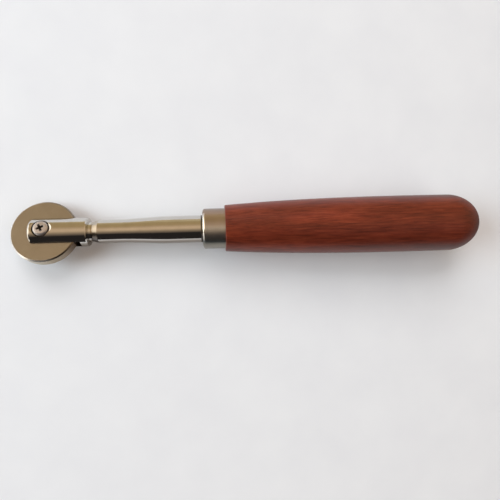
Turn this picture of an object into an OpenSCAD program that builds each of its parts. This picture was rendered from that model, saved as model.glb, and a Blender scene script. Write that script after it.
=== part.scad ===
// Smooth-edged tracing wheel: a flat steel disc that spins in the slotted end of a turned
// rod, with a steel ferrule and a domed hardwood handle.
// The origin is the centre of the disc, on its spin axis. +X runs along the tool towards
// the handle's butt, and +Z is the spin axis, towards the screw's head.

/* [Wheel] */
// Diameter of the disc
wheel_d = 24; // [20:0.5:25]
// Thickness of the disc
wheel_t = 4.5; // [3:0.1:4.8]
// Bevel round both edges of the disc's rim
wheel_bevel = 0.5; // [0.1:0.05:0.6]
// Gap between the disc's bore and the sleeve it turns on, on the radius
running_gap = 0.05; // [0.02:0.01:0.08]

/* [Pivot] */
// Outside diameter of the spacer sleeve that the disc turns on
sleeve_d = 5; // [4.4:0.1:5.6]
// Outside diameter of the two thrust washers
washer_d = 7.6; // [7:0.1:9]
// Nominal diameter of the pivot screw
screw_d = 3; // [2.5:0.5:3]
// Diameter of the screw's pan head
head_d = 5.6; // [5:0.1:6]
// Height of the screw's pan head
head_h = 2.2; // [1.8:0.1:2.6]
// Width of the cross recess from tip to tip
recess_w = 3.2; // [2.8:0.1:3.6]
// Angle that the cross recess stands at
recess_angle = 25; // [0:5:90]

/* [Rod] */
// Diameter of the bar that the rod is turned from, as it stays on the fork
fork_d = 11; // [10.5:0.1:12]
// Distance from the spin axis to the fork's tip
fork_tip = 5; // [4.8:0.1:6]
// Distance from the spin axis to the shoulder behind the fork
fork_back = 16.1; // [15:0.1:18]
// Width of the slot that the disc runs in
slot_w = 5.2; // [5.2:0.1:5.6]
// Distance from the spin axis to the closed end of the slot
slot_end = 13.6; // [13:0.1:14.4]
// Diameter of the neck behind the fork
neck_d = 7.6; // [6:0.1:7.8]
// Length of the neck
neck_len = 1.7; // [1:0.1:3]
// Diameter of the shank next to the neck
shank_front_d = 9; // [8:0.1:10]
// Diameter of the shank next to the ferrule
shank_rear_d = 10.6; // [10:0.1:11]
// Diameter of the tang inside the handle
tang_d = 8; // [6:0.1:8.4]
// Length of the tang from the front of the handle
tang_len = 44; // [30:1:60]

/* [Handle] */
// Distance from the spin axis to the front of the ferrule
ferrule_front = 59.2; // [56:0.1:64]
// Length of the ferrule
ferrule_len = 8.7; // [8:0.1:12]
// Outside diameter of the ferrule
ferrule_d = 15.7; // [15.5:0.1:17]
// Wall thickness of the ferrule
ferrule_wall = 1.1; // [0.8:0.1:1.2]
// Length of the handle in front of its butt's tip
handle_len = 104; // [90:0.5:120]
// Diameter of the handle's front end
handle_front_d = 18.2; // [17.5:0.1:20]
// Largest diameter of the handle
handle_d = 23; // [22:0.1:26]
// Length of the domed butt
dome_len = 13; // [9:0.5:18]

/* [Hidden] */
$fn = 96;
e = 0.01;                           // overshoot of a cut past the face it goes through
wheel_bore_r = sleeve_d / 2 + running_gap;
washer_t = (slot_w - wheel_t) / 2 - 0.05;   // leaves the disc free to turn
washer_gap = 0.02;                  // between a washer and the ear it lies against
seat_r = head_d / 2 + 0.4;          // flat recess that the head sits in
seat_z = fork_d / 2 - 1.7;          // its floor
seat_bevel = [0.8, 0.35];           // width and depth of the bevel where its rim is highest
screw_end_z = -fork_d / 2 + 0.4;    // the screw stops just inside the far ear
recess_arm = 0.95;                  // width of one arm of the cross, which narrows downwards
recess_depth = 1.4;
tip_round = 1.3;                    // rounding of the fork's end
back_bevel = 0.3;                   // bevel of the fork's back shoulder
neck_end = fork_back + neck_len;
shoulder_len = 2.1;                 // cone from the neck to the shank's front diameter
taper_start = neck_end + 9;         // the shank is straight up to here
taper_len = 20;                     // and straight again after this
taper_steps = 16;
handle_front = ferrule_front + ferrule_len;
ferrule_round = 1.1;                // rounding of the ferrule's front edge
ferrule_fit = 0.03;                 // glue gap on the radius between ferrule, rod and wood
tenon_r = ferrule_d / 2 - ferrule_wall - ferrule_fit;
tenon_len = ferrule_len - ferrule_wall - 0.1;
tang_bevel = 1;
tang_fit = 0.05;                    // glue gap round the tang
dome_x = handle_len - dome_len;     // where the handle's dome starts
swell_power = 2.8;                  // how fast the handle swells behind its front
swell_steps = 24;
dome_steps = 24;
front_bevel = 0.2;

// Turns an outline of [distance along +X, radius] points about the tool's long axis.
module turned(outline) {
    rotate([0, 90, 0])
        rotate_extrude()
            polygon([for (p = outline) [p[1], p[0]]]);
}

// Points on an arc of [along, radius] about a centre, for the rounded edges.
function arc(centre, r, from, to, steps = 8) =
    [for (i = [0:steps])
        let (a = from + (to - from) * i / steps)
        centre + r * [cos(a), sin(a)]];

// Outline points that ease from one radius to another over a length.
function eased(from_x, len, from_r, to_r, steps) =
    [for (i = [0:steps])
        let (t = i / steps)
        [from_x + len * t, from_r + (to_r - from_r) * (1 - cos(180 * t)) / 2]];

// Radius of the handle at a distance s behind its front, up to where the dome starts.
function handle_r(s) =
    handle_d / 2 - (handle_d - handle_front_d) / 2 * pow(1 - s / dome_x, swell_power);

// Flat disc with a plain rim, bored for the sleeve.
module pressing_wheel() {
    color("silver")
        rotate_extrude()
            polygon([
                [wheel_bore_r, -wheel_t / 2],
                [wheel_d / 2 - wheel_bevel, -wheel_t / 2],
                [wheel_d / 2, -wheel_t / 2 + wheel_bevel],
                [wheel_d / 2, wheel_t / 2 - wheel_bevel],
                [wheel_d / 2 - wheel_bevel, wheel_t / 2],
                [wheel_bore_r, wheel_t / 2]]);
}

// Sleeve that the screw clamps between the fork's ears, so that the disc stays free.
module spacer_sleeve() {
    color("goldenrod")
        difference() {
            cylinder(h = slot_w, d = sleeve_d, center = true);
            cylinder(h = slot_w + 2 * e, r = screw_d / 2 + 0.05, center = true);
        }
}

// Ring that keeps the disc's face off one ear. side is 1 for the screw head's side.
module thrust_washer(side) {
    z = side * (slot_w / 2 - washer_gap - washer_t / 2);
    color("gainsboro")
        translate([0, 0, z])
            difference() {
                cylinder(h = washer_t, d = washer_d, center = true);
                cylinder(h = washer_t + 2 * e, r = sleeve_d / 2 + 0.04, center = true);
            }
}

module near_thrust_washer() { thrust_washer(1); }

module far_thrust_washer() { thrust_washer(-1); }

// Cross-recessed pan-head screw with a plain shank.
module pivot_screw() {
    crown_r = head_h * 0.45;        // rounding of the head's upper edge
    color("lightgray")
        difference() {
            rotate_extrude()
                polygon(concat(
                    [[0, screw_end_z], [screw_d / 2 - 0.3, screw_end_z],
                     [screw_d / 2, screw_end_z + 0.3], [screw_d / 2, seat_z],
                     [head_d / 2, seat_z]],
                    arc([head_d / 2 - crown_r, seat_z + head_h * 0.9 - crown_r],
                        crown_r, 0, 75),
                    [[0, seat_z + head_h]]));
            for (turn = [0, 90])
                translate([0, 0, seat_z + head_h])
                    rotate([0, 0, recess_angle + turn])
                        hull() {
                            cube([recess_w, recess_arm, e], center = true);
                            translate([0, 0, -recess_depth])
                                cube([recess_arm, recess_arm / 2, e], center = true);
                        }
        }
}

// Turned bar: slotted fork, neck, tapered shank and the tang that the handle holds.
module fork_rod() {
    fork_r = fork_d / 2;
    neck_r = neck_d / 2;
    front_r = shank_front_d / 2;
    rear_r = shank_rear_d / 2;
    tang_end = handle_front + tang_len;
    color("silver")
        difference() {
            turned(concat(
                [[-fork_tip, 0]],
                arc([-fork_tip + tip_round, fork_r - tip_round], tip_round, 180, 90),
                [[fork_back - back_bevel, fork_r], [fork_back, fork_r - back_bevel],
                 [fork_back, neck_r]],
                [[neck_end, neck_r], [neck_end + shoulder_len, front_r]],
                eased(taper_start, taper_len, front_r, rear_r, taper_steps),
                [[ferrule_front + ferrule_wall, rear_r],
                 [ferrule_front + ferrule_wall, tang_d / 2],
                 [tang_end - tang_bevel, tang_d / 2],
                 [tang_end, tang_d / 2 - tang_bevel], [tang_end, 0]]));
            // slot for the disc
            translate([-fork_tip - 1, -fork_r - 1, -slot_w / 2])
                cube([slot_end + fork_tip + 1, fork_d + 2, slot_w]);
            // flat seat for the screw's head, bevelled where it breaks the crown of the ear
            translate([0, 0, seat_z])
                cylinder(h = fork_r, r = seat_r);
            translate([0, 0, fork_r - seat_bevel[1]])
                cylinder(h = 2 * seat_bevel[1], r1 = seat_r, r2 = seat_r + 2 * seat_bevel[0]);
            // clearance hole through the near ear, tapped hole through the far ear
            translate([0, 0, slot_w / 2 - e])
                cylinder(h = fork_r, r = screw_d / 2 + 0.1);
            translate([0, 0, -fork_r - 1])
                cylinder(h = fork_r + 1 - slot_w / 2 + e, r = screw_d / 2);
        }
}

// Drawn cap with a hole for the rod, pressed over the handle's tenon.
module ferrule() {
    outer_r = ferrule_d / 2;
    inner_r = outer_r - ferrule_wall;
    hole_r = shank_rear_d / 2 + ferrule_fit;
    color("darkgray")
        turned(concat(
            [[ferrule_front, hole_r]],
            arc([ferrule_front + ferrule_round, outer_r - ferrule_round],
                ferrule_round, 180, 90),
            [[handle_front, outer_r], [handle_front, inner_r],
             [ferrule_front + ferrule_wall, inner_r],
             [ferrule_front + ferrule_wall, hole_r]]));
}

// Turned hardwood handle: tenon, swelling grip and domed butt, bored for the tang.
module handle() {
    full_r = handle_d / 2;
    front_r = handle_front_d / 2;
    bore_r = tang_d / 2 + tang_fit;
    bore_end = tang_len + 1;
    color("sienna")
        translate([handle_front, 0, 0])
            turned(concat(
                [[-tenon_len, bore_r], [-tenon_len, tenon_r], [0, tenon_r],
                 [0, front_r - front_bevel]],
                [for (i = [0:swell_steps])
                    let (s = front_bevel + (dome_x - front_bevel) * i / swell_steps)
                    [s, handle_r(s)]],
                [for (i = [1:dome_steps])
                    let (a = 90 * i / dome_steps)
                    [dome_x + dome_len * sin(a), full_r * cos(a)]],
                [[bore_end, 0], [bore_end, bore_r]]));
}

pressing_wheel();
spacer_sleeve();
near_thrust_washer();
far_thrust_washer();
pivot_screw();
fork_rod();
ferrule();
handle();
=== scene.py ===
"""Looks for the smooth tracing wheel: materials, the paper it lies on, soft light and the camera."""

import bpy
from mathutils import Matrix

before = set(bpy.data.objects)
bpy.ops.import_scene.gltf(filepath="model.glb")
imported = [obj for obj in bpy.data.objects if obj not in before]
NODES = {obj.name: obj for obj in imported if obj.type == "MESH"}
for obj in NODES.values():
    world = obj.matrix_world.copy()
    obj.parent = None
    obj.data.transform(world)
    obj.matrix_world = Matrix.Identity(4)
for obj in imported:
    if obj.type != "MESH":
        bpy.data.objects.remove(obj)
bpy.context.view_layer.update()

import bpy
from mathutils import Matrix, Vector

MM = 0.001

# ---------------------------------------------------------------- the table it lies on
# The tool lies on the fork's tip, the belly of the handle and the rim of the wheel.
TABLE_UP = Vector((0.055, -0.303, 0.951)).normalized()
TABLE_RIGHT = (Vector((1, 0, 0)) - TABLE_UP * TABLE_UP.x).normalized()
TABLE_FAR = TABLE_UP.cross(TABLE_RIGHT)
TABLE_DROP = 5.73 * MM              # distance from the wheel's centre down to the table
TABLE_SIDE = (0.0, -0.952, -0.305)  # across the long axis, towards the side the tool lies on
PAPER_HALF = 1.2                    # metres from the middle of the paper to its edges

# ---------------------------------------------------------------- places and tones on the part
# Millimetres in the part's own frame: along the tool from the wheel's centre, out from the spin
# axis, or along that axis.
BEVEL_RADIUS = 11.49                # the wheel's bevel begins here
RIM_RADIUS = 11.97                  # and its rolling rim here
SEAT_RADIUS, SEAT_DEPTH = 3.3, (3.9, 4.9)           # the screw's seat in the near ear
RECESS_RADIUS, RECESS_DEPTH = 1.7, (5.2, 5.75)      # the cross in the screw's head
SHOULDER = (17.4, 20.0)             # the cone behind the neck
FERRULE_CORNER = (58.3, 59.0)       # the corner in front of the ferrule
FERRULE_EDGE = 60.1                 # the back of the ferrule's rounded front edge
HIGHLIGHT_TO_SHADE_SIDE = (0.97, 0.24, 0.0)  # across the wheel, from the side with the painted highlight to the side with painted shade

CHROME = (0.66, 0.635, 0.60)
WHEEL_PLATE = (0.41, 0.35, 0.27)
NICKEL = (0.62, 0.56, 0.53)
FERRULE_STEEL = (0.48, 0.43, 0.38)
BRASS = (0.75, 0.56, 0.27)
WASHER_STEEL = (0.62, 0.62, 0.62)
# painted shade: the dark colour and rougher steel put into recesses and into the corner before the
# ferrule
PAINTED_SHADE_COLOUR = (0.05, 0.038, 0.030)
PAINTED_SHADE_ROUGHNESS = 0.6


def on_table(right, far, up):
    """A place given in metres along the table and up from it, from below the wheel's centre."""
    return TABLE_RIGHT * right + TABLE_FAR * far + TABLE_UP * (up - TABLE_DROP)


# ---------------------------------------------------------------- node helpers
def new_material(name):
    """A material with its node tree and its main shader."""
    material = bpy.data.materials.new(name)
    material.use_nodes = True
    return material, material.node_tree, material.node_tree.nodes["Principled BSDF"]


def add(tree, kind, links=None, **settings):
    """Adds a node, sets its properties and inputs, and links its inputs from other sockets."""
    node = tree.nodes.new(kind)
    for key, value in settings.items():
        if hasattr(node, key) and not isinstance(getattr(node, key), bpy.types.NodeInputs):
            setattr(node, key, value)
    for key, value in (links or {}).items():
        if isinstance(value, bpy.types.NodeSocket):
            tree.links.new(value, node.inputs[key])
        else:
            node.inputs[key].default_value = value
    return node


def frame_coords(tree, scale=(1, 1, 1), shift=(0, 0, 0)):
    """Coordinates in the part's own frame, in millimetres times scale."""
    place = add(tree, "ShaderNodeTexCoord")
    sized = add(tree, "ShaderNodeMapping", {
        "Vector": place.outputs["Object"],
        "Scale": tuple(1000 * s for s in scale),
        "Location": shift,
    })
    return sized.outputs["Vector"]


def part_place(tree):
    """The place on the part in millimetres, with outputs X, Y and Z."""
    return add(tree, "ShaderNodeSeparateXYZ", {"Vector": frame_coords(tree)})


def noise(tree, vector, detail=2.0, roughness=0.5):
    """Noise from 0 to 1, at the scale of the coordinates that it is given."""
    node = add(tree, "ShaderNodeTexNoise", {
        "Vector": vector, "Scale": 1.0, "Detail": detail, "Roughness": roughness})
    return node.outputs["Fac"]


def ramp(tree, value, *stops):
    """A colour ramp: each stop is (position, colour or grey level)."""
    node = add(tree, "ShaderNodeValToRGB", {"Fac": value})
    elements = node.color_ramp.elements
    while len(elements) < len(stops):
        elements.new(0.5)
    for element, (place, shade) in zip(elements, stops):
        element.position = place
        rgb = shade if isinstance(shade, tuple) else (shade,) * 3
        element.color = (*rgb, 1)
    return node.outputs["Color"]


def maths(tree, operation, a, b=0.0):
    """One step of arithmetic on sockets or numbers."""
    node = add(tree, "ShaderNodeMath", {0: a, 1: b}, operation=operation)
    return node.outputs["Value"]


def spread(tree, value, low, high):
    """Maps 0..1 to low..high."""
    node = add(tree, "ShaderNodeMapRange", {"Value": value, "To Min": low, "To Max": high})
    return node.outputs["Result"]


def spread_signed(tree, value):
    """Maps -1..1 to 0..1."""
    node = add(tree, "ShaderNodeMapRange", {"Value": value, "From Min": -1.0})
    return node.outputs["Result"]


def mix(tree, fac, a, b, blend="MIX"):
    """Mixes two colours, each a socket or a tuple."""
    node = tree.nodes.new("ShaderNodeMix")
    node.data_type = "RGBA"
    node.blend_type = blend
    for index, value in ((0, fac), (6, a), (7, b)):
        if isinstance(value, bpy.types.NodeSocket):
            tree.links.new(value, node.inputs[index])
        else:
            node.inputs[index].default_value = (*value, 1) if isinstance(value, tuple) else value
    return node.outputs[2]


def blend_input(tree, shader, name, fac, other, blend="MIX"):
    """Mixes a colour, or a level given as a number, into what feeds one of the shader's inputs."""
    before = shader.inputs[name].links[0].from_socket
    if isinstance(other, float):
        other = (other,) * 3
    tree.links.new(mix(tree, fac, before, other, blend), shader.inputs[name])


def bump(tree, height, distance, strength=1.0):
    """A normal from a height of 0 to 1, with the bump's depth in metres."""
    return add(tree, "ShaderNodeBump", {
        "Height": height, "Distance": distance, "Strength": strength}).outputs["Normal"]


def aligned(tree, flat, direction):
    """How far a place's direction from an axis agrees with another direction: -1 to 1."""
    outward = add(tree, "ShaderNodeVectorMath", {0: flat.outputs["Vector"]}, operation="NORMALIZE")
    return add(tree, "ShaderNodeVectorMath", {0: outward.outputs["Vector"], 1: direction},
               operation="DOT_PRODUCT").outputs["Value"]


def spin_radius(tree, spot):
    """Distance from the spin axis, in millimetres."""
    across = maths(tree, "MULTIPLY", spot.outputs["X"], spot.outputs["X"])
    along = maths(tree, "MULTIPLY", spot.outputs["Y"], spot.outputs["Y"])
    return maths(tree, "SQRT", maths(tree, "ADD", across, along))


def turned_metal(name, colour, rough, line_depth, lines_per_mm, axis, metallic=1.0):
    """Plated or turned steel: faint tool marks round an axis, smudges and hairline wear."""
    material, tree, shader = new_material(name)
    shader.inputs["Metallic"].default_value = metallic
    along = [0.05, 0.05, 0.05]
    along["XYZ".index(axis)] = lines_per_mm
    if axis == "Z":
        # a faced disc: the marks are circles about the spin axis
        spot = part_place(tree)
        radius = spin_radius(tree, spot)
        ring = add(tree, "ShaderNodeCombineXYZ", {
            "X": maths(tree, "MULTIPLY", radius, lines_per_mm),
            "Y": maths(tree, "MULTIPLY", spot.outputs["Z"], 0.3)})
        marks = noise(tree, ring.outputs["Vector"], detail=3.0)
    else:
        marks = noise(tree, frame_coords(tree, along), detail=3.0)
    smudge = noise(tree, frame_coords(tree, (0.25, 0.25, 0.25)), detail=4.0, roughness=0.6)
    tree.links.new(spread(tree, smudge, *rough), shader.inputs["Roughness"])
    shade = ramp(tree, smudge, (0.3, tuple(c * 0.93 for c in colour)), (0.7, colour))
    tree.links.new(shade, shader.inputs["Base Color"])
    tree.links.new(bump(tree, marks, line_depth), shader.inputs["Normal"])
    return material


def shade_in_recess(material, radius, depth):
    """Painted shade, with rougher steel, inside a radius round the spin axis: full at the first height,
    none at the second.
    """
    tree = material.node_tree
    shader = tree.nodes["Principled BSDF"]
    spot = part_place(tree)
    inside = maths(tree, "LESS_THAN", spin_radius(tree, spot), radius)
    full, none = depth
    deep = add(tree, "ShaderNodeMapRange", {
        "Value": spot.outputs["Z"], "From Min": full, "From Max": none,
        "To Min": 1.0, "To Max": 0.0}).outputs["Result"]
    painted_shade = maths(tree, "MULTIPLY", inside, deep)
    blend_input(tree, shader, "Base Color", painted_shade, PAINTED_SHADE_COLOUR)
    blend_input(tree, shader, "Roughness", painted_shade, PAINTED_SHADE_ROUGHNESS)
    return material


def downward(tree, spot):
    """How far a place round the long axis is turned towards the table: -1 to 1."""
    flat = add(tree, "ShaderNodeCombineXYZ", {"Y": spot.outputs["Y"], "Z": spot.outputs["Z"]})
    return aligned(tree, flat, TABLE_SIDE)


def shade_painted_underneath(material):
    """Painted shade: the side that is turned to the table is made darker, for the shadowed paper it
    mirrors.
    """
    tree = material.node_tree
    shader = tree.nodes["Principled BSDF"]
    spot = part_place(tree)
    painted_underside_shade = ramp(tree, downward(tree, spot), (0.74, 1.0), (0.84, (0.40, 0.36, 0.32)))
    blend_input(tree, shader, "Base Color", 1.0, painted_underside_shade, "MULTIPLY")
    return material


def ferrule_painted_reflections(material):
    """Painted reflections on the ferrule: bands from brown above to grey and dark below, and a painted
    highlight on its front edge, which is also smoother.
    """
    tree = material.node_tree
    shader = tree.nodes["Principled BSDF"]
    spot = part_place(tree)
    level = spread_signed(tree, downward(tree, spot))
    painted_light_tint = ramp(tree, level,
                (0.02, (0.68, 0.62, 0.60)), (0.12, (0.84, 0.68, 0.60)),
                (0.22, (1.10, 1.00, 0.98)), (0.43, (1.02, 1.04, 1.18)),
                (0.53, (1.42, 1.62, 1.95)), (0.67, (1.90, 2.05, 2.25)),
                (0.77, (1.10, 1.20, 1.25)), (0.83, (0.30, 0.36, 0.40)),
                (0.89, (0.52, 0.55, 0.53)), (1.00, (0.70, 0.72, 0.70)))
    blend_input(tree, shader, "Base Color", 1.0, painted_light_tint, "MULTIPLY")
    edge = maths(tree, "LESS_THAN", spot.outputs["X"], FERRULE_EDGE)
    lit_part = ramp(tree, level, (0.12, 0.0), (0.24, 1.0), (0.58, 1.0), (0.68, 0.0))
    painted_highlight_and_polish = maths(tree, "MULTIPLY", edge, lit_part)
    blend_input(tree, shader, "Base Color", painted_highlight_and_polish, (0.98, 0.95, 0.88))
    blend_input(tree, shader, "Roughness", painted_highlight_and_polish, 0.10)
    return material


def painted_corner_shade(material, corner):
    """Painted shade, with rougher steel, in the corner between parts: it begins at the first place
    along the tool and is full from the second.
    """
    tree = material.node_tree
    shader = tree.nodes["Principled BSDF"]
    spot = part_place(tree)
    front, back = corner
    painted_shade = add(tree, "ShaderNodeMapRange", {
        "Value": spot.outputs["X"], "From Min": front, "From Max": back}).outputs["Result"]
    blend_input(tree, shader, "Base Color", painted_shade, PAINTED_SHADE_COLOUR)
    blend_input(tree, shader, "Roughness", painted_shade, PAINTED_SHADE_ROUGHNESS)
    return material


def satin_shoulder_painted_shade(material, cone):
    """The cone behind the neck is less polished than the rest of the rod, and has painted shade: a
    little darker above, much darker on its side turned to the table.
    """
    tree = material.node_tree
    shader = tree.nodes["Principled BSDF"]
    spot = part_place(tree)
    front, back = cone
    behind = maths(tree, "GREATER_THAN", spot.outputs["X"], front)
    before = maths(tree, "LESS_THAN", spot.outputs["X"], back)
    band = maths(tree, "MULTIPLY", behind, before)
    painted_light_tint = ramp(tree, spread_signed(tree, downward(tree, spot)),
                (0.30, (0.86, 0.80, 0.72)), (0.58, (0.80, 0.72, 0.62)), (0.68, (0.26, 0.24, 0.24)))
    clean = shader.inputs["Base Color"].links[0].from_socket
    tinted = mix(tree, 1.0, clean, painted_light_tint, "MULTIPLY")
    tree.links.new(mix(tree, band, clean, tinted), shader.inputs["Base Color"])
    blend_input(tree, shader, "Roughness", band, 0.26)
    return material


def rim_painted_light(material):
    """The wheel's bevels carry a painted highlight on one side and painted shade on the other, and its
    rolling rim is painted brown, lighter on one side and darker on the other, for the shadowed paper it
    mirrors.
    """
    tree = material.node_tree
    shader = tree.nodes["Principled BSDF"]
    spot = part_place(tree)
    radius = spin_radius(tree, spot)
    bevel = maths(tree, "GREATER_THAN", radius, BEVEL_RADIUS)
    rim = maths(tree, "GREATER_THAN", radius, RIM_RADIUS)
    # painted highlight on one side of the bevel, painted shade on the other
    flat = add(tree, "ShaderNodeCombineXYZ", {"X": spot.outputs["X"], "Y": spot.outputs["Y"]})
    side = spread_signed(tree, aligned(tree, flat, HIGHLIGHT_TO_SHADE_SIDE))
    edge = ramp(tree, side, (0.42, (0.98, 0.95, 0.90)), (0.60, (0.26, 0.21, 0.16)))
    tread = ramp(tree, side, (0.30, (0.56, 0.48, 0.34)), (0.55, (0.38, 0.30, 0.20)),
                 (0.85, (0.22, 0.16, 0.11)))
    blend_input(tree, shader, "Base Color", bevel, edge)
    blend_input(tree, shader, "Base Color", rim, tread)
    blend_input(tree, shader, "Roughness", bevel, 0.24)
    return material


def rosewood():
    """Reddish rosewood under satin lacquer: fine short grain, dark flecks and faint streaks."""
    material, tree, shader = new_material("rosewood")
    drift = noise(tree, frame_coords(tree, (0.03, 0.16, 0.16)), detail=3.0)
    grain = noise(tree, frame_coords(tree, (0.12, 1.9, 1.9)), detail=5.0, roughness=0.7)
    flecks = noise(tree, frame_coords(tree, (0.20, 2.0, 2.0), (7, 3, 1)), detail=4.0, roughness=0.65)
    streaks = noise(tree, frame_coords(tree, (0.02, 0.45, 0.45), (2, 9, 4)), detail=3.0)
    base = ramp(tree, grain, (0.32, (0.092, 0.013, 0.006)), (0.48, (0.160, 0.024, 0.010)),
                (0.60, (0.200, 0.034, 0.014)), (0.74, (0.255, 0.049, 0.020)))
    tone = ramp(tree, drift, (0.34, 0.68), (0.64, 1.16))
    toned = mix(tree, 1.0, base, tone, "MULTIPLY")
    # the wood is darker towards the butt, and darkest on its end grain
    along = add(tree, "ShaderNodeSeparateXYZ", {"Vector": frame_coords(tree, (0.005, 1, 1))})
    age = ramp(tree, along.outputs["X"], (0.40, 1.08), (0.72, 0.84), (0.83, 0.72), (0.86, 0.42))
    aged = mix(tree, 1.0, toned, age, "MULTIPLY")
    streak_mask = ramp(tree, streaks, (0.54, 0.0), (0.72, 0.42))
    streaked = mix(tree, streak_mask, aged, (0.060, 0.012, 0.006))
    fleck_mask = ramp(tree, flecks, (0.54, 0.0), (0.72, 0.50))
    coloured = mix(tree, fleck_mask, streaked, (0.045, 0.010, 0.005))
    tree.links.new(coloured, shader.inputs["Base Color"])
    shader.inputs["Specular IOR Level"].default_value = 0.34
    satin = spread(tree, grain, 0.30, 0.42)
    worn_butt = ramp(tree, along.outputs["X"], (0.79, 0.0), (0.84, 1.0))
    tree.links.new(mix(tree, worn_butt, satin, (0.62,) * 3), shader.inputs["Roughness"])
    hollow = maths(tree, "SUBTRACT", 1.0, fleck_mask)
    tree.links.new(bump(tree, hollow, 0.00002, 0.4), shader.inputs["Normal"])
    return material


def paper():
    """Matt white paper with the faintest mottling."""
    material, tree, shader = new_material("paper")
    mottle = noise(tree, frame_coords(tree, (0.05, 0.05, 0.05)), detail=3.0)
    shade = ramp(tree, mottle, (0.3, (0.80, 0.80, 0.81)), (0.7, (0.83, 0.83, 0.835)))
    tree.links.new(shade, shader.inputs["Base Color"])
    shader.inputs["Roughness"].default_value = 0.9
    fibre = noise(tree, frame_coords(tree, (3, 3, 3)), detail=2.0)
    tree.links.new(bump(tree, fibre, 0.00003, 0.3), shader.inputs["Normal"])
    return material


def dress(node, material):
    """Gives a CAD node its material."""
    mesh = NODES[node].data
    mesh.materials.clear()
    mesh.materials.append(material)


# painted highlight and painted shade on the wheel's bevel and rim
dress("pressing_wheel", rim_painted_light(
    turned_metal("wheel_plate", WHEEL_PLATE, (0.28, 0.38), 2e-6, 6.0, "Z", metallic=0.88)))
# painted shade in the screw's seat and on the rod's side turned to the table
rod = shade_painted_underneath(shade_in_recess(
    turned_metal("rod_chrome", CHROME, (0.06, 0.12), 1e-6, 5.0, "X"), SEAT_RADIUS, SEAT_DEPTH))
# painted shade on the underside of the cone behind the neck and in the corner before the ferrule
dress("fork_rod", painted_corner_shade(satin_shoulder_painted_shade(rod, SHOULDER), FERRULE_CORNER))
# painted reflection bands and a painted highlight on the ferrule
dress("ferrule", ferrule_painted_reflections(
    turned_metal("ferrule_steel", FERRULE_STEEL, (0.28, 0.38), 8e-6, 9.0, "X")))
# painted shade in the cross recess of the screw's head
dress("pivot_screw", shade_in_recess(
    turned_metal("screw_nickel", NICKEL, (0.26, 0.36), 2e-6, 5.0, "Z", metallic=0.75),
    RECESS_RADIUS, RECESS_DEPTH))
dress("spacer_sleeve", turned_metal("sleeve_brass", BRASS, (0.2, 0.3), 3e-6, 6.0, "Z"))
washer = turned_metal("washer_steel", WASHER_STEEL, (0.2, 0.3), 3e-6, 6.0, "Z")
dress("near_thrust_washer", washer)
dress("far_thrust_washer", washer)
dress("handle", rosewood())


# ---------------------------------------------------------------- paper, light and camera
def lay_paper():
    """The sheet that the tool lies on."""
    near, far = -PAPER_HALF, PAPER_HALF
    corners = [on_table(x, y, 0) for x, y in ((near, near), (far, near), (far, far), (near, far))]
    mesh = bpy.data.meshes.new("paper")
    mesh.from_pydata(corners, [], [(0, 1, 2, 3)])
    sheet = bpy.data.objects.new("paper", mesh)
    bpy.context.scene.collection.objects.link(sheet)
    mesh.materials.append(paper())


def area_light(name, place, target, size, watts, colour):
    """A soft rectangular lamp, aimed at a place."""
    data = bpy.data.lights.new(name, "AREA")
    data.shape = "RECTANGLE"
    data.size, data.size_y = size
    data.energy = watts
    data.color = colour
    lamp = bpy.data.objects.new(name, data)
    lamp.location = place
    lamp.rotation_mode = "QUATERNION"
    lamp.rotation_quaternion = (target - place).to_track_quat("-Z", "Y")
    bpy.context.scene.collection.objects.link(lamp)
    lamp.visible_glossy = False     # the steel mirrors the room, not the lamps


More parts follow.
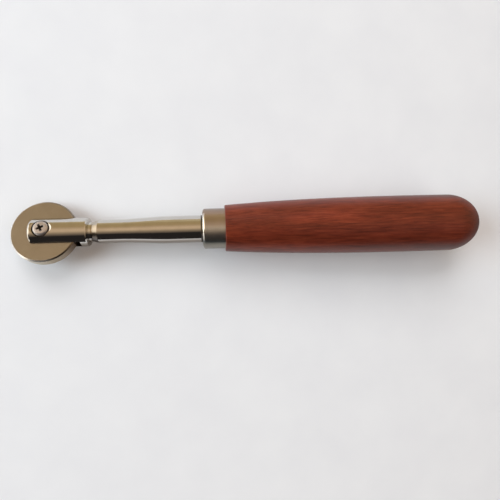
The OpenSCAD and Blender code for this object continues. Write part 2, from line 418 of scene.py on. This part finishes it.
def room():
    """The room that the plated steel mirrors: warm above, dark where the viewer stands."""
    world = bpy.data.worlds.new("room")
    bpy.context.scene.world = world
    world.use_nodes = True
    tree = world.node_tree
    background = tree.nodes["Background"]
    way = add(tree, "ShaderNodeTexCoord").outputs["Generated"]
    far = add(tree, "ShaderNodeVectorMath", {0: way, 1: TABLE_FAR}, operation="DOT_PRODUCT")
    right = add(tree, "ShaderNodeVectorMath", {0: way, 1: TABLE_RIGHT}, operation="DOT_PRODUCT")
    up = add(tree, "ShaderNodeVectorMath", {0: way, 1: TABLE_UP}, operation="DOT_PRODUCT")
    far_01, right_01, up_01 = (spread_signed(tree, part.outputs["Value"]) for part in (far, right, up))
    middle = ramp(tree, far_01,
                  (0.245, (0.024, 0.021, 0.020)), (0.300, (0.135, 0.105, 0.080)),
                  (0.400, (0.32, 0.24, 0.16)), (0.460, (0.46, 0.34, 0.22)),
                  (0.530, (0.68, 0.50, 0.32)), (0.640, (0.74, 0.54, 0.34)),
                  (0.740, (0.58, 0.42, 0.25)), (0.820, (0.48, 0.34, 0.17)),
                  (0.950, (0.46, 0.34, 0.17)), (0.975, (0.62, 0.50, 0.30)))
    leftward = ramp(tree, right_01, (0.10, 1.0), (0.22, 0.0))
    low_wall = ramp(tree, up_01, (0.57, 1.0), (0.63, 0.0))
    high_wall = ramp(tree, far_01, (0.40, 0.0), (0.50, 1.0))
    wall = maths(tree, "MAXIMUM", low_wall, high_wall)
    shaded = mix(tree, wall, (0.05, 0.04, 0.03), (1.9, 1.75, 1.5))
    mirrored = mix(tree, leftward, middle, shaded)
    # matt surfaces get a warm glow, weaker on the side where the viewer stands
    glow = ramp(tree, far_01, (0.15, (0.15, 0.10, 0.07)), (0.5, (0.33, 0.235, 0.16)),
                (0.9, (0.48, 0.37, 0.27)))
    seen = add(tree, "ShaderNodeLightPath")
    lit = mix(tree, seen.outputs["Is Glossy Ray"], glow, mirrored)
    tree.links.new(mix(tree, seen.outputs["Is Camera Ray"], lit, (0.80, 0.80, 0.81)),
                   background.inputs["Color"])


def set_camera():
    """The camera stands above the tool's middle and a little in front of it."""
    data = bpy.data.cameras.new("camera")
    data.sensor_width = 36
    data.lens = 28.8
    camera = bpy.data.objects.new("camera", data)
    bpy.context.scene.collection.objects.link(camera)
    place = Vector((63.2, -56.2, 147.9)) * MM
    ahead = Vector((0.0901, 0.3009, -0.9494)).normalized()
    top = Vector((0.0314, 0.9519, 0.3047))
    right = ahead.cross(top).normalized()
    top = right.cross(ahead)
    turn = Matrix((right, top, -ahead)).transposed()
    camera.matrix_world = Matrix.Translation(place) @ turn.to_4x4()
    data.clip_start = 0.01
    bpy.context.scene.camera = camera


lay_paper()
middle_of_tool = Vector((80, 0, 0)) * MM
area_light("window", on_table(-1.40, 0.15, 0.85), middle_of_tool,
           size=(1.0, 1.0), watts=26, colour=(0.72, 0.88, 1.0))
area_light("ceiling", on_table(-0.20, 1.15, 1.10), middle_of_tool,
           size=(1.2, 1.0), watts=14, colour=(0.92, 0.95, 1.0))
area_light("fill", on_table(0.90, -0.70, 1.50), middle_of_tool,
           size=(1.2, 1.2), watts=5.5, colour=(0.90, 0.95, 1.0))
room()
set_camera()
bpy.context.scene.view_settings.view_transform = "Standard"
